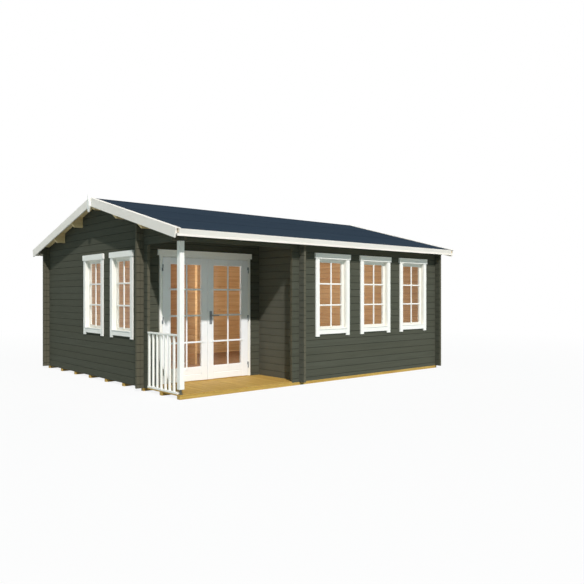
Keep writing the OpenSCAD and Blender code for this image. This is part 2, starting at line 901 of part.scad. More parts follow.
foundation_bearers();
room_floors();
porch_deck();
left_gable_lower();
left_gable_piers();
left_gable_lintel();
left_gable_top();
right_gable_wall();
front_wall_lower();
front_wall_piers();
front_wall_upper();
back_wall();
eave_logs();
door_wall_left();
door_wall_right();
door_wall_top();
porch_side_wall();
partition_wall();
purlins();
roof_boards();
roof_felt();
barge_boards();
edge_caps();
gable_finials();
eave_fascias();
porch_post();
post_base();
porch_railing();
window_frames();
window_glass();
window_trim();
door_frame();
door_stops();
door_threshold();
door_trim();
door_hinge_pins();
left_door_leaf();
left_leaf_glass();
left_leaf_hinges();
right_door_leaf();
right_leaf_glass();
right_leaf_hinges();
handle_plates();
door_lever();
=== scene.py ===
"""Looks of the log cabin: finishes for its frame, and the boards, glazing bars and fittings on it.

Everything is in metres. The front faces -Y and the gable with the porch faces -X.
"""

import math
import random

import bmesh
import bpy
from mathutils import Matrix, Vector


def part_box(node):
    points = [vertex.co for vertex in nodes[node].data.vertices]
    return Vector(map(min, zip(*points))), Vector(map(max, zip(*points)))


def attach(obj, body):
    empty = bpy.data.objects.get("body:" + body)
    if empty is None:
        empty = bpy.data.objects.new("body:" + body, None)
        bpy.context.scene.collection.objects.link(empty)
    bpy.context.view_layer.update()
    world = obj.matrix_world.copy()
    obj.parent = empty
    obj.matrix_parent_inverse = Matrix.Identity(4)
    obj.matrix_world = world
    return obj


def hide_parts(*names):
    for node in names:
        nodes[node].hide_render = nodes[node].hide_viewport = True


SEED = 11

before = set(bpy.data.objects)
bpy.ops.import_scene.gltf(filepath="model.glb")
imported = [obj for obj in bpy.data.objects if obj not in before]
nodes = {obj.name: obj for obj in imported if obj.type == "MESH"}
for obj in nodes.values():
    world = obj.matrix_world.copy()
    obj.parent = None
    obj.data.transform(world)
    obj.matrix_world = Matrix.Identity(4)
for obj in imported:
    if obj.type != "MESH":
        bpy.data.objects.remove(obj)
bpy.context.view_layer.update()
rng = random.Random(SEED)


def low(node):
    """The low corner of a node's box."""
    return Vector(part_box(node)[0])


def high(node):
    """The high corner of a node's box."""
    return Vector(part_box(node)[1])


# Places read from the frame
FOOT_Z = low("left_gable_lower").z
LEFT_X = low("left_gable_lower").x
RIGHT_X = high("right_gable_wall").x
FRONT_Y = low("front_wall_lower").y
BACK_Y = high("back_wall").y
PORCH_X = low("porch_side_wall").x
DOOR_WALL_Y = low("door_wall_left").y
PORCH_LOGS_X = low("front_wall_lower").x
GABLE_START_Y = low("left_gable_lower").y
PARTITION_Y = low("partition_wall").y
RIDGE_Y = (FRONT_Y + BACK_Y) / 2

# Logs. The courses along x sit half a log higher than those along y
WALL_T = high("front_wall_lower").y - FRONT_Y
LOG_H = 0.114
X_JOINT = LOG_H / 2
Y_JOINT = 0.0

# Roof
ROOF_PITCH = math.radians(14.64)

# Photograph and its camera
IMAGE_PX = 584
FOCAL_PX = 620.24
HORIZON_PX = 295.19
SENSOR = 36.0
EYE = Vector((LEFT_X - 4.233, FRONT_Y - 7.127, FOOT_Z + 1.334))
EYE_YAW = math.radians(-40.965)


def srgb(r, g, b):
    """A display colour, 0 to 255, as linear light."""

    def linear(v):
        v /= 255
        return v / 12.92 if v <= 0.04045 else ((v + 0.055) / 1.055) ** 2.4

    return (linear(r), linear(g), linear(b), 1.0)


class Nodes:
    """A node tree, put together from sockets."""

    def __init__(self, tree):
        self.tree = tree

    def feed(self, socket, value):
        if isinstance(value, bpy.types.NodeSocket):
            self.tree.links.new(value, socket)
        else:
            socket.default_value = value

    def add(self, kind, inputs=None, out=0, **settings):
        node = self.tree.nodes.new(kind)
        for key, value in settings.items():
            setattr(node, key, value)
        for key, value in (inputs or {}).items():
            self.feed(node.inputs[key], value)
        return node.outputs[out]

    def math(self, operation, a, b=0.0):
        return self.add("ShaderNodeMath", {0: a, 1: b}, operation=operation)

    def times(self, a, b):
        return self.math("MULTIPLY", a, b)

    def mix(self, factor, a, b):
        return self.add("ShaderNodeMix", {0: factor, 6: a, 7: b}, out=2, data_type="RGBA")

    def span(self, value, a, b, to_a=0.0, to_b=1.0):
        """value moved from the range a to b into the range to_a to to_b."""
        return self.add("ShaderNodeMapRange", {0: value, 1: a, 2: b, 3: to_a, 4: to_b})

    def place(self):
        return self.add("ShaderNodeTexCoord", out="Object")

    def split(self, vector):
        node = self.tree.nodes.new("ShaderNodeSeparateXYZ")
        self.feed(node.inputs[0], vector)
        return node.outputs[0], node.outputs[1], node.outputs[2]

    def shift(self, number, reach):
        """A move for each axis out of one random number, so that boards don't share their grain."""
        x, y, z = (self.times(number, r) for r in reach)
        return self.add("ShaderNodeCombineXYZ", {0: x, 1: y, 2: z})

    def stretched(self, scale, shift=None):
        """Object coordinates times a scale for each axis, moved by a shift for each board."""
        place = self.add(
            "ShaderNodeVectorMath", {0: self.place(), 1: scale}, operation="MULTIPLY"
        )
        if shift is None:
            return place
        return self.add("ShaderNodeVectorMath", {0: place, 1: shift}, operation="ADD")

    def noise(self, vector, scale=1.0, detail=3.0, roughness=0.55, distortion=0.0):
        values = {
            "Vector": vector,
            "Scale": scale,
            "Detail": detail,
            "Roughness": roughness,
            "Distortion": distortion,
        }
        return self.add("ShaderNodeTexNoise", values)

    def grain(self, axis, size, shift=None, **settings):
        """Noise drawn out along an axis. size is its scale across and along the fibres."""
        return self.noise(self.stretched(along_scale(axis, *size), shift), **settings)

    def tone(self):
        """The random number that each solid of a piece carries."""
        return self.add("ShaderNodeAttribute", out="Fac", attribute_name="tone")


class Finish(Nodes):
    """A material around one shader."""

    def __init__(self, name):
        self.material = bpy.data.materials.new(name)
        self.material.use_nodes = True
        super().__init__(self.material.node_tree)
        self.shader = self.tree.nodes["Principled BSDF"]

    def set(self, **inputs):
        for key, value in inputs.items():
            self.feed(self.shader.inputs[key.replace("_", " ")], value)

    def bump(self, height, distance, strength):
        values = {"Height": height, "Distance": distance, "Strength": strength}
        self.feed(self.shader.inputs["Normal"], self.add("ShaderNodeBump", values))

    def cover(self, share, other):
        """Another shader over the finish's own, by a share from 0 to 1."""
        both = self.add("ShaderNodeMixShader", {0: share, 1: self.shader.outputs[0], 2: other})
        self.tree.links.new(both, self.tree.nodes["Material Output"].inputs["Surface"])


def along_scale(axis, across, along):
    return [along if a == axis else across for a in "xyz"]


# Scales of the grain, across and along the fibres
LOG_GRAIN = (40.0, 1.4)
SPRUCE_GRAIN = (26.0, 1.1)
KNOT_GRAIN = (8.0, 2.2)
PAINT_GRAIN = (55.0, 2.0)
ROOM_SIDE_GRAIN = (50.0, 1.6)
TIMBER_GRAIN = (45.0, 1.5)
FINE_GRAIN = (110.0, 12.0)

# How far the grain moves from log to log and from board to board
LOG_SHIFT = (31.0, 17.0, 23.0)
ROOM_SIDE_SHIFT = (31.0, 17.0, 0.0)
BOARD_SHIFT = (31.0, 17.0, 5.0)

# Parts of a noise's range over which one value gives way to the next
WHOLE = (0.0, 1.0)
WIDE = (0.3, 0.7)
UPPER = (0.35, 0.7)
SPRUCE_FADE = (0.32, 0.68)
TIMBER_FADE = (0.34, 0.66)
FINE_FADE = (0.45, 0.72)
FELT_FADE = (0.4, 0.75)
THIN_PAINT = (0.45, 0.75)
PAINT_FIBRES = (0.4, 0.7)


def indoors(f):
    """1 where a surface faces one of the rooms, else 0."""
    place = f.add("ShaderNodeNewGeometry", out="Position")
    facing = f.add("ShaderNodeNewGeometry", out="True Normal")
    step = f.add("ShaderNodeVectorMath", {0: facing, "Scale": WALL_T / 2}, operation="SCALE")
    x, y, _ = f.split(f.add("ShaderNodeVectorMath", {0: place, 1: step}, operation="ADD"))

    def between(value, a, b):
        return f.times(f.math("GREATER_THAN", value, a), f.math("LESS_THAN", value, b))

    walled = f.times(
        between(x, LEFT_X + WALL_T, RIGHT_X - WALL_T),
        between(y, FRONT_Y + WALL_T, BACK_Y - WALL_T),
    )
    porch = f.times(
        f.math("LESS_THAN", x, PORCH_X + WALL_T),
        f.math("LESS_THAN", y, DOOR_WALL_Y + WALL_T),
    )
    return f.times(walled, f.math("SUBTRACT", 1.0, porch))


SPRUCE, DARK_SPRUCE, KNOT = srgb(217, 180, 132), srgb(195, 152, 104), srgb(132, 82, 46)
KNOT_EDGE = (0.05, 0.12)
KNOT_SHARE = 0.6


def spruce(f, axis, shift):
    """Colour of bare spruce with its grain along an axis, with darker knots."""
    grain = f.grain(axis, SPRUCE_GRAIN, shift, detail=5.0, roughness=0.6, distortion=0.6)
    colour = f.mix(f.span(grain, *SPRUCE_FADE), SPRUCE, DARK_SPRUCE)
    knots = f.add(
        "ShaderNodeTexVoronoi",
        {"Vector": f.stretched(along_scale(axis, *KNOT_GRAIN), shift), "Scale": 1.0},
        feature="F1",
    )
    return f.mix(f.span(knots, *KNOT_EDGE, KNOT_SHARE, 0.0), colour, KNOT), grain


FACES_ALONG = 0.9
RING_LOW = 0.7


def end_grain(f, axis):
    """Near 1 on surfaces that face along an axis, with the rings of sawn ends, else 0."""
    facing = f.split(f.add("ShaderNodeNewGeometry", out="True Normal"))["xyz".index(axis)]
    rings = f.add(
        "ShaderNodeTexWave",
        {"Vector": f.place(), "Scale": 40.0, "Distortion": 5.0, "Detail": 2.0},
        out="Fac",
        wave_type="RINGS",
        rings_direction=axis.upper(),
    )
    sawn = f.math("GREATER_THAN", f.math("ABSOLUTE", facing), FACES_ALONG)
    return f.times(sawn, f.span(rings, *WHOLE, RING_LOW, 1.0))


# Tails of the logs beyond the crossings, with a darker line across them halfway out
TAIL = LEFT_X - low("back_wall").x
MID_LINE_HALF = 0.003


def tails(f):
    """1 on the tails of the logs along x, and 1 in a line across them halfway out."""
    x, _, _ = f.split(f.place())
    past = f.math("MAXIMUM", f.math("SUBTRACT", LEFT_X, x), f.math("SUBTRACT", x, RIGHT_X))
    from_line = f.math("ABSOLUTE", f.math("SUBTRACT", past, TAIL / 2))
    return f.math("GREATER_THAN", past, 0.0), f.math("LESS_THAN", from_line, MID_LINE_HALF)


# Stain of the logs: over the whole wall, course by course, in patches, and a lighter stain in the
# porch that is painted light
STAIN_DARK, STAIN_LIGHT = srgb(76, 78, 67), srgb(89, 91, 80)
STAIN_COURSE, COURSE_SHARE = srgb(77, 77, 64), 0.35
STAIN_FADED, FADED_SHARE = srgb(88, 88, 76), 0.3
# Painted light: a lighter stain on the porch's side wall, standing in for the light that falls
# there
STAIN_PAINTED_LIGHT, PAINTED_LIGHT_LOW = srgb(103, 103, 93), 0.8
STAIN_TAIL, TAIL_SHARE = srgb(96, 92, 77), 0.85
STAIN_MID_LINE, MID_LINE_SHARE = srgb(40, 40, 32), 0.5
STAIN_END = srgb(98, 95, 80)

# Painted shade in the grooves between logs, with the dark of the gaps themselves, by its distance
# from the joint
SEAM_DARK = 0.002
SEAM_FADE = 0.005
STAIN_SEAM_SHADE, SEAM_SHADE_SHARE = srgb(32, 34, 28), 0.55
SPRUCE_SEAM_SHADE, SPRUCE_SEAM_SHADE_SHARE = srgb(120, 78, 46), 0.4

LOG_ROUGHNESS = (0.68, 0.84)


def log_finish(name, axis, joint, painted_light=0.0):
    """Dark stained logs outside and bare spruce towards the rooms. Each course has its own tone.

    The last argument is the share of a lighter stain that is painted light, standing in for the
    light that falls on the porch's side wall.
    """
    f = Finish(name)
    _, _, z = f.split(f.place())
    up = f.math("SUBTRACT", z, FOOT_Z + joint)
    course = f.math("FLOOR", f.math("DIVIDE", up, LOG_H))
    own = f.add("ShaderNodeTexWhiteNoise", {"W": course}, noise_dimensions="1D")
    # Share of painted shade in the grooves, by the distance from the joint
    seam_shade = f.span(f.math("PINGPONG", up, LOG_H / 2), SEAM_DARK, SEAM_FADE, 1.0, 0.0)
    shift = f.shift(own, LOG_SHIFT)
    grain = f.grain(axis, LOG_GRAIN, shift, detail=6.0, roughness=0.65, distortion=0.4)
    weather = f.noise(f.place(), scale=1.3, detail=2.0)
    stain = f.mix(f.span(grain, *WIDE), STAIN_DARK, STAIN_LIGHT)
    stain = f.mix(f.span(own, *WHOLE, 0.0, COURSE_SHARE), stain, STAIN_COURSE)
    stain = f.mix(f.span(weather, *UPPER, 0.0, FADED_SHARE), stain, STAIN_FADED)
    # Painted light: a lighter stain for the light that falls on the porch's side wall
    if painted_light:
        share = f.span(grain, *WIDE, painted_light * PAINTED_LIGHT_LOW, painted_light)
        stain = f.mix(share, stain, STAIN_PAINTED_LIGHT)
    if axis == "x":
        tail, line = tails(f)
        stain = f.mix(f.times(tail, TAIL_SHARE), stain, STAIN_TAIL)
        stain = f.mix(f.times(line, MID_LINE_SHARE), stain, STAIN_MID_LINE)
    stain = f.mix(end_grain(f, axis), stain, STAIN_END)
    # Painted shade in the grooves, with the dark of the gaps, on the stain
    stain = f.mix(f.times(seam_shade, SEAM_SHADE_SHARE), stain, STAIN_SEAM_SHADE)
    bare, bare_grain = spruce(f, axis, shift)
    # Painted shade in the grooves, with the dark of the gaps, on the bare spruce
    bare = f.mix(f.times(seam_shade, SPRUCE_SEAM_SHADE_SHARE), bare, SPRUCE_SEAM_SHADE)
    inside = indoors(f)
    f.set(
        Base_Color=f.mix(inside, stain, bare),
        Roughness=f.span(grain, *WIDE, *LOG_ROUGHNESS),
        Specular_IOR_Level=0.06,
    )
    relief = f.math("ADD", grain, f.times(bare_grain, inside))
    f.bump(relief, distance=0.0007, strength=0.7)
    return f.material


# How much smoother and rougher than its middle value a board's surface gets
SMOOTHER = 0.06
ROUGHER = 0.1


def paint_finish(name, axis, colour, worn, roughness=0.45):
    """Painted boards: a little grain shows through, and the paint is thinner in places."""
    f = Finish(name)
    grain = f.grain(axis, PAINT_GRAIN, detail=4.0, roughness=0.6, distortion=0.3)
    patches = f.noise(f.place(), scale=3.1, detail=4.0, roughness=0.6)
    thin = f.times(f.span(patches, *THIN_PAINT), f.span(grain, *PAINT_FIBRES))
    f.set(
        Base_Color=f.mix(thin, colour, worn),
        Roughness=f.span(patches, *WIDE, roughness - SMOOTHER, roughness + ROUGHER),
        Specular_IOR_Level=0.35,
    )
    f.bump(grain, distance=0.0005, strength=0.5)
    return f.material


ROOM_SIDE_ROUGHNESS = (0.5, 0.66)


def room_side_finish(name, axis, colour, worn):
    """Painted outside and bare spruce towards the rooms."""
    f = Finish(name)
    shift = f.shift(f.tone(), ROOM_SIDE_SHIFT)
    grain = f.grain(axis, ROOM_SIDE_GRAIN, shift, detail=5.0, roughness=0.6, distortion=0.3)
    paint = f.mix(f.span(grain, *UPPER), colour, worn)
    bare, _ = spruce(f, axis, shift)
    f.set(
        Base_Color=f.mix(indoors(f), paint, bare),
        Roughness=f.span(grain, *WIDE, *ROOM_SIDE_ROUGHNESS),
        Specular_IOR_Level=0.35,
    )
    f.bump(grain, distance=0.0006, strength=0.6)
    return f.material


BOARD_TONE_SHARE = 0.45
FINE_SHARE = 0.55


def timber_finish(name, axis, light, dark, roughness=0.62):
    """Bare or impregnated boards with grain, streaks and a tone for each board."""
    f = Finish(name)
    tone = f.tone()
    shift = f.shift(tone, BOARD_SHIFT)
    grain = f.grain(axis, TIMBER_GRAIN, shift, detail=6.0, roughness=0.62, distortion=0.8)
    fine = f.grain(axis, FINE_GRAIN, shift)
    colour = f.mix(f.span(grain, *TIMBER_FADE), light, dark)
    colour = f.mix(f.times(tone, BOARD_TONE_SHARE), colour, dark)
    colour = f.mix(f.span(fine, *FINE_FADE, 0.0, FINE_SHARE), colour, dark)
    f.set(
        Base_Color=colour,
        Roughness=f.span(grain, *WIDE, roughness - SMOOTHER, roughness + ROUGHER),
        Specular_IOR_Level=0.3,
    )
    f.bump(f.math("ADD", grain, fine), distance=0.0006, strength=0.6)
    return f.material


SLATE, LIGHT_SLATE = srgb(44, 56, 69), srgb(59, 72, 86)
FADED_SLATE, FADED_SLATE_SHARE = srgb(63, 74, 86), 0.35
ROW_SLATE, ROW_SHARE = srgb(46, 56, 69), 0.2
FELT_PATCH = [0.7, 2.2, 2.2]
FELT_ROUGHNESS = (0.85, 0.97)


def felt_finish():
    """Slate blue roofing felt with mineral granules, faded a little in patches."""
    f = Finish("felt")
    granules = f.noise(f.place(), scale=420.0, detail=2.0, roughness=0.7)
    patches = f.noise(f.stretched(FELT_PATCH), detail=4.0, roughness=0.6)
    colour = f.mix(f.span(granules, *WIDE), SLATE, LIGHT_SLATE)
    colour = f.mix(f.span(patches, *FELT_FADE, 0.0, FADED_SLATE_SHARE), colour, FADED_SLATE)
    colour = f.mix(f.times(f.tone(), ROW_SHARE), colour, ROW_SLATE)
    f.set(
        Base_Color=colour,
        Roughness=f.span(granules, *WIDE, *FELT_ROUGHNESS),
        Specular_IOR_Level=0.0,
    )
    f.bump(granules, distance=0.0012, strength=0.8)
    return f.material


METAL_ROUGHNESS = (0.36, 0.52)


def metal_finish(name, colour, worn, metallic):
    """Coated metal with fine wear."""
    f = Finish(name)
    wear = f.noise(f.place(), scale=60.0, detail=4.0, roughness=0.6)
    f.set(
        Base_Color=f.mix(f.span(wear, *UPPER), colour, worn),
        Metallic=metallic,
        Roughness=f.span(wear, *WIDE, *METAL_ROUGHNESS),
    )
    f.bump(wear, distance=0.0002, strength=0.4)
    return f.material


PANE_TINT = (0.93, 0.97, 0.97, 1.0)
PANE_SHADE = (0.14, 0.15, 0.15, 1.0)
PANE_ROUGHNESS = (0.0, 0.02)


def glass_finish():
    """Clear panes, a little uneven, that let part of the lamps' light through."""
    f = Finish("pane_glass")
    ripple = f.noise(f.place(), scale=2.5, detail=2.0)
    f.set(
        Base_Color=PANE_TINT,
        Transmission_Weight=1.0,
        Roughness=f.span(ripple, *WIDE, *PANE_ROUGHNESS),
        IOR=1.2,
    )
    lamp_ray = f.add("ShaderNodeLightPath", out="Is Shadow Ray")
    f.cover(lamp_ray, f.add("ShaderNodeBsdfTransparent", {"Color": PANE_SHADE}))
    return f.material


WHITE, WORN_WHITE = srgb(255, 254, 247), srgb(247, 244, 233)
SASH_WHITE, WORN_SASH = srgb(245, 242, 232), srgb(236, 232, 220)
EDGE_WHITE, WORN_EDGE = srgb(255, 248, 238), srgb(247, 238, 224)
LEAF_WHITE, WORN_LEAF = srgb(252, 254, 255), srgb(244, 245, 243)
BEIGE, WORN_BEIGE = srgb(240, 214, 162), srgb(220, 192, 138)
PINE, DARK_PINE = srgb(212, 178, 96), srgb(176, 138, 66)
FLOOR_PINE, FLOOR_DARK = srgb(172, 137, 106), srgb(143, 109, 82)
STEEL, WORN_STEEL = srgb(124, 131, 136), srgb(142, 148, 151)
ZINC, WORN_ZINC = srgb(84, 86, 76), srgb(104, 105, 94)

x_logs = log_finish("logs_along_x", "x", X_JOINT)
y_logs = log_finish("logs_along_y", "y", Y_JOINT)
# The porch's side wall gets a lighter stain as painted light
porch_logs = log_finish("porch_logs", "y", Y_JOINT, painted_light=0.7)
white_x = paint_finish("white_along_x", "x", WHITE, WORN_WHITE)
edge_x = paint_finish("edge_white_along_x", "x", EDGE_WHITE, WORN_EDGE)
edge_y = paint_finish("edge_white_along_y", "y", EDGE_WHITE, WORN_EDGE)
leaf_white = paint_finish("white_leaves", "z", LEAF_WHITE, WORN_LEAF)
white_z = paint_finish("white_upright", "z", WHITE, WORN_WHITE)
sash_white = paint_finish("white_sashes", "z", SASH_WHITE, WORN_SASH)
beige_x = room_side_finish("beige_along_x", "x", BEIGE, WORN_BEIGE)
beige_y = room_side_finish("beige_along_y", "y", BEIGE, WORN_BEIGE)
pine_x = timber_finish("pine_along_x", "x", PINE, DARK_PINE)
pine_y = timber_finish("pine_along_y", "y", PINE, DARK_PINE)
floor_pine = timber_finish("floor_pine", "y", FLOOR_PINE, FLOOR_DARK, roughness=0.5)
felt = felt_finish()
steel = metal_finish("dark_steel", STEEL, WORN_STEEL, metallic=0.25)
zinc = metal_finish("dull_zinc", ZINC, WORN_ZINC, metallic=0.1)
pane_glass = glass_finish()

FINISHES = {
    x_logs: ["front_wall_lower", "front_wall_piers", "front_wall_upper", "back_wall", "eave_logs",
             "door_wall_left", "door_wall_right", "door_wall_top"],
    y_logs: ["left_gable_lower", "left_gable_piers", "left_gable_lintel", "left_gable_top",
             "right_gable_wall", "partition_wall"],
    porch_logs: ["porch_side_wall"],
    white_x: ["door_trim"],
    edge_x: ["eave_fascias"],
    edge_y: ["barge_boards", "edge_caps"],
    white_z: ["gable_finials", "porch_post", "porch_railing", "window_trim", "door_frame",
              "door_stops"],
    leaf_white: ["left_door_leaf", "right_door_leaf"],
    sash_white: ["window_frames"],
    beige_x: ["purlins"],
    beige_y: ["roof_boards"],
    pine_x: ["foundation_bearers", "door_threshold"],
    pine_y: ["porch_deck"],
    floor_pine: ["room_floors"],
    felt: ["roof_felt"],
    zinc: ["post_base"],
    steel: ["door_hinge_pins", "left_leaf_hinges", "right_leaf_hinges", "handle_plates",
            "door_lever"],
    pane_glass: ["window_glass", "left_leaf_glass", "right_leaf_glass"],
}
for finish, names in FINISHES.items():
    for name in names:
        mesh = nodes[name].data
        mesh.materials.clear()
        mesh.materials.append(finish)


# Share of a bevel that the ends of a board are drawn in by
END_INSET = 0.6

# A nail head's outline, as shares of its radius and height
HEAD_PROFILE = ((1.0, 0.0), (0.92, 0.55), (0.6, 0.9), (0.2, 1.0))
HEAD_SIDES = 12


class Shape:
    """Solids collected in one mesh. Each carries a random number, its tone."""

    def __init__(self):
        self.bm = bmesh.new()
        self.tones = self.bm.verts.layers.float.new("tone")

    def loft(self, loops, matrix=None):
        """A closed solid through loops of points that all have the same count."""
        tone = rng.random()
        rows = []
        for loop in loops:
            row = []
            for p in loop:
                v = self.bm.verts.new(matrix @ Vector(p) if matrix else Vector(p))
                v[self.tones] = tone
                row.append(v)
            rows.append(row)
        count = len(rows[0])
        faces = [self.bm.faces.new(rows[0][::-1]), self.bm.faces.new(rows[-1])]
        for a, b in zip(rows, rows[1:]):
            for i in range(count):
                j = (i + 1) % count
                faces.append(self.bm.faces.new((a[i], a[j], b[j], b[i])))
        bmesh.ops.recalc_face_normals(self.bm, faces=faces)

    def board(self, lo, hi, axis, bevel, matrix=None):
        """A box between two corners with bevelled edges, its length along an axis."""
        n = "xyz".index(axis)
        u, v = (n + 1) % 3, (n + 2) % 3

        def loop(at, inset):
            points = []
            for cu, cv, turn in ((0, 0, 0), (1, 0, 1), (1, 1, 0), (0, 1, 1)):
                edge_u = hi[u] - inset if cu else lo[u] + inset
                edge_v = hi[v] - inset if cv else lo[v] + inset
                off_u, off_v = (-bevel if cu else bevel), (-bevel if cv else bevel)
                pair = [(edge_u, edge_v + off_v), (edge_u + off_u, edge_v)]
                for pu, pv in reversed(pair) if turn else pair:
                    p = [0.0, 0.0, 0.0]
                    p[n], p[u], p[v] = at, pu, pv
                    points.append(p)
            return points

        inset = bevel * END_INSET
        loops = [
            loop(lo[n], inset),
            loop(lo[n] + bevel, 0),
            loop(hi[n] - bevel, 0),
            loop(hi[n], inset),
        ]
        self.loft(loops, matrix)

    def button(self, centre, radius, height):
        """A domed round head that stands up along z."""
        x, y, z = centre
        turns = [math.tau * i / HEAD_SIDES for i in range(HEAD_SIDES)]
        loops = []
        for share, up in HEAD_PROFILE:
            r = radius * share
            top = z + height * up
            loops.append([(x + r * math.cos(a), y + r * math.sin(a), top) for a in turns])
        self.loft(loops)

    def piece(self, name, finish, body, replaced=()):
        mesh = bpy.data.meshes.new(name)
        self.bm.to_mesh(mesh)
        self.bm.free()
        mesh.materials.append(finish)
        obj = bpy.data.objects.new(name, mesh)
        bpy.context.scene.collection.objects.link(obj)
        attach(obj, body)
        if replaced:
            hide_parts(*replaced)
        return obj


# Floors and deck
BOARD_W = 0.12
BOARD_BEVEL = 0.0025
DECK_GAP = 0.003
FLOOR_GAP = 0.001
NOTCH = 0.002


def lay_boards(shape, x0, x1, y0, y1, z0, z1, gap):
    """Boards along y that fill a rectangle."""
    count = max(1, round((x1 - x0) / BOARD_W))
    step = (x1 - x0) / count
    for i in range(count):
        left = x0 + i * step + (gap / 2 if i else 0)
        right = x0 + (i + 1) * step - (gap / 2 if i < count - 1 else 0)
        shape.board((left, y0, z0), (right, y1, z1), "y", BOARD_BEVEL)


deck_lo, deck_hi = low("porch_deck"), high("porch_deck")
strip_x = LEFT_X + WALL_T + NOTCH
logs_x = PORCH_LOGS_X - NOTCH
main_x0, main_x1 = strip_x + DECK_GAP, logs_x - DECK_GAP
deck = Shape()
deck_rows = [
    (deck_lo.x, strip_x, deck_lo.y, GABLE_START_Y - NOTCH),
    (main_x0, main_x1, deck_lo.y, deck_hi.y),
    (logs_x, deck_hi.x, FRONT_Y + WALL_T + NOTCH, deck_hi.y),
]
for x0, x1, y0, y1 in deck_rows:
    lay_boards(deck, x0, x1, y0, y1, deck_lo.z, deck_hi.z, DECK_GAP)
deck.piece("deck_boards", pine_y, "cabin", ["porch_deck"])

NAIL_R = 0.004
NAIL_RISE = 0.0012
NAIL_SUNK = 0.0002
NAIL_INSET = 0.03
NAIL_FROM_FRONT = 0.035
NAIL_FROM_WALL = 0.06
nail_rows = (
    FRONT_Y + NAIL_FROM_FRONT,
    (FRONT_Y + DOOR_WALL_Y) / 2,
    DOOR_WALL_Y - NAIL_FROM_WALL,
)
main_count = round((main_x1 - main_x0) / BOARD_W)
main_step = (main_x1 - main_x0) / main_count
deck_nails = Shape()
for i in range(main_count):
    left, right = main_x0 + i * main_step, main_x0 + (i + 1) * main_step
    for x in (left + NAIL_INSET, right - NAIL_INSET):
        for y in nail_rows:
            deck_nails.button((x, y, deck_hi.z - NAIL_SUNK), NAIL_R, NAIL_RISE)
deck_nails.piece("deck_nails", steel, "cabin")

floor_lo, floor_hi = low("room_floors"), high("room_floors")
stub_x = high("door_wall_right").x + NOTCH
wall_x = PORCH_X + WALL_T + NOTCH
room_boards = Shape()
room_rows = [
    (floor_lo.x, PORCH_X - NOTCH, high("door_frame").y + NOTCH, floor_hi.y),
    (PORCH_X, wall_x - FLOOR_GAP, high("porch_side_wall").y + NOTCH, PARTITION_Y - NOTCH),
    (wall_x, stub_x, floor_lo.y, DOOR_WALL_Y - NOTCH),
    (wall_x, stub_x, DOOR_WALL_Y + WALL_T + NOTCH, floor_hi.y),
    (stub_x + FLOOR_GAP, floor_hi.x, floor_lo.y, floor_hi.y),
]
for x0, x1, y0, y1 in room_rows:
    lay_boards(room_boards, x0, x1, y0, y1, floor_lo.z, floor_hi.z, FLOOR_GAP)
room_boards.piece("floor_boards", floor_pine, "cabin", ["room_floors"])


# Railing: the first baluster stands at the gable and the post takes the place of the last
RAIL_T = 0.025
RAIL_EDGE = 0.003
BALUSTER_W = 0.028
BALUSTER_EDGE = 0.002
BALUSTERS = 7
END_GAP = 0.004
SUNK = 0.001
rail_lo, rail_hi = low("porch_railing"), high("porch_railing")
railing = Shape()
for z0 in (rail_lo.z, rail_hi.z - RAIL_T):
    z1 = z0 + RAIL_T
    railing.board((rail_lo.x, rail_lo.y, z0), (rail_hi.x, rail_hi.y, z1), "y", RAIL_EDGE)
rail_mid = (rail_lo.x + rail_hi.x) / 2
half = BALUSTER_W / 2
first_y = rail_hi.y - END_GAP - half
for i in range(BALUSTERS):
    y = first_y - i * (first_y - rail_lo.y) / BALUSTERS
    foot = (rail_mid - half, y - half, rail_lo.z + RAIL_T - SUNK)
    head = (rail_mid + half, y + half, rail_hi.z - RAIL_T + SUNK)
    railing.board(foot, head, "z", BALUSTER_EDGE)
railing.piece("railing_joinery", white_z, "cabin", ["porch_railing"])


# Roof boards, notched at the corners for the eave boards
roof_lo, roof_hi = low("roof_boards"), high("roof_boards")
ROOF_T = 0.018
LINING_W = 0.096
LINING_GAP = 0.0004
LINING_BEVEL = 0.005
RIDGE_GAP = 0.001
CORNER_NOTCH = 0.032
slope_len = (RIDGE_Y - roof_lo.y) / math.cos(ROOF_PITCH)
eave_back = ROOF_T * math.sin(ROOF_PITCH)


def slope_frame(back):
    """x along the eave, y up the slope and z out of it, from the foot of a slope's boards."""
    side = -1.0 if back else 1.0
    c, s = math.cos(ROOF_PITCH), math.sin(ROOF_PITCH)
    origin = (0.0, roof_hi.y if back else roof_lo.y, roof_lo.z)
    turn = Matrix(((1, 0, 0), (0, side * c, -side * s), (0, s, c))).to_4x4()
    return Matrix.Translation(origin) @ turn


soffit = Shape()
count = round((roof_hi.x - roof_lo.x) / LINING_W)
step = (roof_hi.x - roof_lo.x) / count
for back in (False, True):
    for i in range(count):
        x = roof_lo.x + i * step
        foot = eave_back + (CORNER_NOTCH if i in (0, count - 1) else 0.0)
        soffit.board(
            (x + LINING_GAP, foot, 0.0),
            (x + step - LINING_GAP, slope_len - RIDGE_GAP, ROOF_T),
            "y", LINING_BEVEL, slope_frame(back),
        )
soffit.piece("roof_lining_boards", beige_y, "cabin", ["roof_boards"])

# Battens under the feet of the roof boards, behind the eave boards
BATTEN_T = 0.018
BATTEN_H = 0.024
BATTEN_INSET = 0.024
BATTEN_GAP = 0.0005
BATTEN_BEVEL = 0.002
battens = Shape()
for y0 in (roof_lo.y + BATTEN_GAP, roof_hi.y - BATTEN_GAP - BATTEN_T):
    battens.board(
        (roof_lo.x + BATTEN_INSET, y0, roof_lo.z - BATTEN_H),
        (roof_hi.x - BATTEN_INSET, y0 + BATTEN_T, roof_lo.z - BATTEN_GAP),
        "x", BATTEN_BEVEL,
    )
battens.piece("eave_battens", beige_x, "cabin")

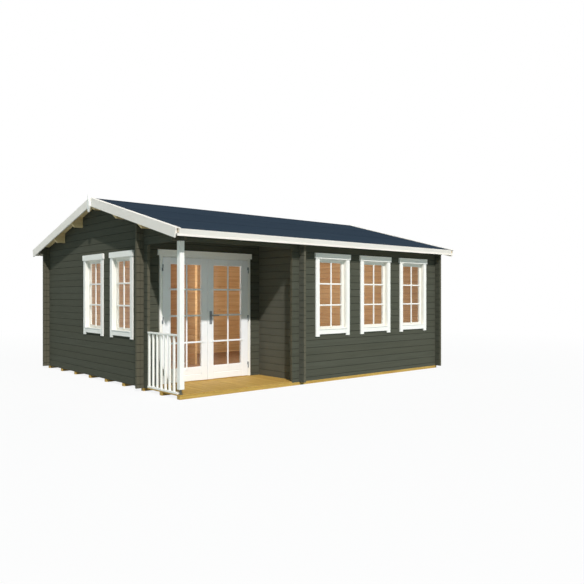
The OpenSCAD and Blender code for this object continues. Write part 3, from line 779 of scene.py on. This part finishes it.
# Blocks that fill the ends of the eaves between the eave boards and the barge boards
BLOCK_BACK = 0.022
BLOCK_DROP = 0.045
BLOCK_RISE = 0.014
BLOCK_GAP = 0.0005
BLOCK_BEVEL = 0.002
RIGHT_NOTCH = 0.095
block_ends = ((roof_lo.x, roof_lo.x + BATTEN_INSET), (roof_hi.x - RIGHT_NOTCH, roof_hi.x))
blocks = Shape()
for x0, x1 in block_ends:
    for y0 in (roof_lo.y + BLOCK_BACK, roof_hi.y - CORNER_NOTCH + BLOCK_GAP):
        y1 = y0 + CORNER_NOTCH - BLOCK_BACK - BLOCK_GAP
        blocks.board(
            (x0 + BLOCK_GAP, y0, roof_lo.z - BLOCK_DROP),
            (x1 - BLOCK_GAP, y1, roof_lo.z + BLOCK_RISE),
            "z", BLOCK_BEVEL,
        )
blocks.piece("eave_end_blocks", edge_x, "cabin")

# Felt: rows that lap each other, and a strip over the ridge
felt_lo, felt_hi = low("roof_felt"), high("roof_felt")
FELT_T = 0.003
FELT_ROW = 1.0
FELT_LAP = 0.1
FELT_BEND = 1.4
FELT_STEPS = 60
FELT_WAVE = 0.0015
FELT_RIPPLE = 0.0006
RIDGE_LAP = 0.16
RIDGE_LIFT = 1.3


def felt_row(shape, s0, s1, base, lift, matrix):
    """A row of felt up the slope from s0 to s1, its lower edge lifted over the row below it."""
    rows = []
    lean = math.tan(ROOF_PITCH) if s1 == slope_len else 0.0
    top = base + FELT_T
    for i in range(FELT_STEPS + 1):
        x = felt_lo.x + (felt_hi.x - felt_lo.x) * i / FELT_STEPS
        wave = rng.uniform(-FELT_WAVE, FELT_WAVE) if lift else 0.0
        ripple = rng.uniform(0.0, FELT_RIPPLE)
        mid = s0 + FELT_LAP * FELT_BEND
        rows.append(
            [
                (x, s0 + wave, base + lift), (x, mid, base), (x, s1 + lean * base, base),
                (x, s1 + lean * top, top), (x, mid, top + ripple), (x, s0 + wave, top + lift),
            ]
        )
    shape.loft(rows, matrix)


felt_rows = Shape()
for back in (False, True):
    matrix = slope_frame(back)
    s = 0.0
    while s < slope_len - 2 * FELT_LAP:
        lift = FELT_T if s else 0.0
        felt_row(felt_rows, s, min(s + FELT_ROW, slope_len), ROOF_T, lift, matrix)
        s += FELT_ROW - FELT_LAP
    over = ROOF_T + FELT_T * RIDGE_LIFT
    felt_row(felt_rows, slope_len - RIDGE_LAP, slope_len, over, 0.0, matrix)
felt_rows.piece("felt_rows", felt, "cabin", ["roof_felt"])


# Glazing bars
BAR_W = 0.023
BAR_PROUD = 0.017
BAR_LAP = 0.012
LEAF_BAR_W = 0.026
LEAF_BAR_PROUD = 0.010
LEAF_BAR_LAP = 0.034
BAR_BEVEL = 0.002
BAR_GAP = 0.0005
UPRIGHT_BACK = 0.0006


def glazing_bars(shape, u0, u1, z0, z1, v0, v1, levels, width, matrix=None):
    """A bar at each level and one upright between two depths. u runs across the pane, v inwards."""
    mid, half = (u0 + u1) / 2, width / 2
    for z in levels:
        shape.board((u0, v0, z - half), (u1, v1, z + half), "x", BAR_BEVEL, matrix)
    shape.board(
        (mid - half, v0 + UPRIGHT_BACK, z0),
        (mid + half, v1 + UPRIGHT_BACK, z1),
        "z", BAR_BEVEL, matrix,
    )


glass_lo, glass_hi = low("window_glass"), high("window_glass")
trim_lo, trim_hi = low("window_trim"), high("window_trim")
WINDOW_PITCH = 1.030
FRONT_WINDOWS = [(PORCH_X + RIGHT_X) / 2 + i * WINDOW_PITCH for i in (-1, 0, 1)]
PANE_HALF = glass_hi.x - FRONT_WINDOWS[2]
GABLE_WINDOWS = [glass_hi.y - PANE_HALF - WINDOW_PITCH, glass_hi.y - PANE_HALF]
SASH_FACE = 0.044
pane_h = glass_hi.z - glass_lo.z
WINDOW_LEVELS = [glass_lo.z + pane_h / 3, glass_lo.z + pane_h * 2 / 3]

quarter = Matrix.Rotation(-math.pi / 2, 4, "Z")
spots = [Matrix.Translation((x, FRONT_Y, 0)) for x in FRONT_WINDOWS]
spots += [Matrix.Translation((LEFT_X, y, 0)) @ quarter for y in GABLE_WINDOWS]

window_bars = Shape()
u, z0, z1 = PANE_HALF + BAR_LAP, glass_lo.z - BAR_LAP, glass_hi.z + BAR_LAP
v0, v1 = SASH_FACE - BAR_PROUD, SASH_FACE - BAR_GAP
for spot in spots:
    glazing_bars(window_bars, -u, u, z0, z1, v0, v1, WINDOW_LEVELS, BAR_W, spot)
window_bars.piece("window_bars", white_z, "cabin")

# Rain bars along the feet of the sashes, over the boards under the windows
RAIN_BAR_DROP = 0.036
RAIN_BAR_H = 0.013
RAIN_BAR_PROUD = 0.009
RAIN_BAR_SUNK = 0.0005
RAIN_BAR_GAP = 0.001
RAIN_BAR_BEVEL = 0.003
HEADER_EAR = 0.019
HEADER_STEP = 0.010
TRIM_W = 0.078
trim_half = trim_hi.x - FRONT_WINDOWS[2] - HEADER_EAR
trim_face = trim_lo.y - FRONT_Y + HEADER_STEP
rain_half = trim_half - TRIM_W - RAIN_BAR_GAP
rain_top = glass_lo.z - RAIN_BAR_DROP
rain_bars = Shape()
for spot in spots:
    rain_bars.board(
        (-rain_half, trim_face - RAIN_BAR_PROUD, rain_top - RAIN_BAR_H),
        (rain_half, trim_face + RAIN_BAR_SUNK, rain_top),
        "x", RAIN_BAR_BEVEL, spot,
    )
rain_bars.piece("window_rain_bars", white_x, "cabin")


# Door leaves
RAIL_JOINT_Z = FOOT_Z + 0.130
LEAF_LEVELS = [FOOT_Z + z for z in (0.619, 1.024, 1.420)]
LEAF_BEVEL = 0.0025
RAIL_BEVEL = 0.006
for side in ("left", "right"):
    leaf, pane = f"{side}_door_leaf", f"{side}_leaf_glass"
    a, b = low(leaf), high(leaf)
    ga, gb = low(pane), high(pane)
    joinery = Shape()
    for x0, x1 in ((a.x, ga.x), (gb.x, b.x)):
        joinery.board((x0, a.y, a.z), (x1, b.y, b.z), "z", LEAF_BEVEL)
    for z0, z1 in ((a.z, RAIL_JOINT_Z), (RAIL_JOINT_Z, ga.z), (gb.z, b.z)):
        joinery.board((ga.x, a.y, z0), (gb.x, b.y, z1), "x", RAIL_BEVEL)
    joinery.piece(f"{side}_leaf_joinery", leaf_white, f"{side}_leaf", [leaf])
    bars = Shape()
    u0, u1 = ga.x - LEAF_BAR_LAP, gb.x + LEAF_BAR_LAP
    z0, z1 = ga.z - LEAF_BAR_LAP, gb.z + LEAF_BAR_LAP
    v0, v1 = a.y - LEAF_BAR_PROUD, a.y - BAR_GAP
    glazing_bars(bars, u0, u1, z0, z1, v0, v1, LEAF_LEVELS, LEAF_BAR_W)
    bars.piece(f"{side}_leaf_bars", leaf_white, f"{side}_leaf")


# Stage: a pale floor that shows white, with the shadows still on it near the cabin
FLOOR_HALF = 60.0
FLOOR_DROP = 0.0005
FLOOR_SEEN, FLOOR_BOUNCE = (0.85, 0.85, 0.85, 1.0), (0.48, 0.53, 0.53, 1.0)
FLOOR_WHITE = 0.88
WHITE_FROM, WHITE_FULL = 5.0, 14.0
PURE_WHITE = (1.0, 1.0, 1.0, 1.0)


def seen(f):
    """1 for rays that show the background: from the camera, a mirror or glass."""
    rays = f.tree.nodes.new("ShaderNodeLightPath").outputs
    direct = f.math("MAXIMUM", rays["Is Camera Ray"], rays["Is Glossy Ray"])
    return f.math("MAXIMUM", direct, rays["Is Transmission Ray"])


def floor_finish():
    """A matt floor, with more white over it further from the cabin."""
    f = Finish("studio_floor")
    f.set(
        Base_Color=f.mix(seen(f), FLOOR_BOUNCE, FLOOR_SEEN),
        Roughness=0.9,
        Specular_IOR_Level=0.1,
    )
    reach = f.add("ShaderNodeVectorMath", {0: f.place()}, out="Value", operation="LENGTH")
    share = f.times(seen(f), f.span(reach, WHITE_FROM, WHITE_FULL, FLOOR_WHITE, 1.0))
    f.cover(share, f.add("ShaderNodeEmission", {"Color": PURE_WHITE, "Strength": 1.0}))
    return f.material


signs = ((-1, -1), (1, -1), (1, 1), (-1, 1))
corners = [(x * FLOOR_HALF, y * FLOOR_HALF, -FLOOR_DROP) for x, y in signs]
floor_mesh = bpy.data.meshes.new("studio_floor")
floor_mesh.from_pydata(corners, [], [(0, 1, 2, 3)])
floor_mesh.materials.append(floor_finish())
floor = bpy.data.objects.new("studio_floor", floor_mesh)
bpy.context.scene.collection.objects.link(floor)

SKY = 0.21
SKY_COLOUR = (0.61, 0.92, 0.95)
world = bpy.data.worlds.new("studio")
bpy.context.scene.world = world
world.use_nodes = True
sky = Nodes(world.node_tree)
ambient = sky.tree.nodes["Background"]
sky.feed(ambient.inputs["Color"], (*SKY_COLOUR, 1.0))
sky.feed(ambient.inputs["Strength"], SKY)
backdrop = sky.add("ShaderNodeBackground", {"Color": PURE_WHITE, "Strength": 1.0})
both = sky.add("ShaderNodeMixShader", {0: seen(sky), 1: ambient.outputs[0], 2: backdrop})
sky.tree.links.new(both, sky.tree.nodes["World Output"].inputs["Surface"])


def add_lamp(name, kind, energy, colour):
    lamp = bpy.data.lights.new(name, kind)
    lamp.energy = energy
    lamp.color = colour
    obj = bpy.data.objects.new(name, lamp)
    bpy.context.scene.collection.objects.link(obj)
    return obj


# Light: a lamp from the front left and a wide soft one from the front, by the way that their
# light travels, strength, angle in degrees and colour
SUNS = {
    "key": ((0.309, 0.667, -0.656), 3.25, 1.2, (0.985, 0.945, 0.94)),
    "fill": ((0.20, 0.93, -0.30), 0.20, 110.0, SKY_COLOUR),
}
for name, (travel, strength, angle, colour) in SUNS.items():
    sun = add_lamp(name, "SUN", strength, colour)
    sun.data.angle = math.radians(angle)
    sun.rotation_euler = Vector(travel).to_track_quat("-Z", "Y").to_euler()

# A small lamp in each room, by its place and watts, that lights the room and isn't seen itself
ROOM_LAMP_Z = FOOT_Z + 1.3
ROOM_LAMP_SIZE = 0.3
ROOM_LAMP_COLOUR = (0.93, 0.98, 1.0)
ROOM_LAMPS = {
    "left_room": ((PORCH_X - 0.46, PARTITION_Y - 1.20, ROOM_LAMP_Z), 82.0),
    "right_room": (((PORCH_X + RIGHT_X) / 2, RIDGE_Y, ROOM_LAMP_Z), 46.0),
}
for name, (spot, watts) in ROOM_LAMPS.items():
    lamp = add_lamp(name, "POINT", watts, ROOM_LAMP_COLOUR)
    lamp.data.shadow_soft_size = ROOM_LAMP_SIZE
    lamp.location = spot
    lamp.visible_camera = lamp.visible_transmission = lamp.visible_glossy = False

# The edge of the eave's shadow in the photograph is that of the battens behind the eave boards
nodes["eave_fascias"].visible_shadow = False

camera = bpy.data.cameras.new("photo_camera")
camera.sensor_width = SENSOR
camera.lens = SENSOR * FOCAL_PX / IMAGE_PX
camera.shift_y = (HORIZON_PX - IMAGE_PX / 2) / IMAGE_PX
camera_obj = bpy.data.objects.new("photo_camera", camera)
camera_obj.location = EYE
camera_obj.rotation_euler = (math.pi / 2, 0.0, EYE_YAW)
bpy.context.scene.collection.objects.link(camera_obj)
bpy.context.scene.camera = camera_obj

bpy.context.scene.view_settings.view_transform = "Standard"
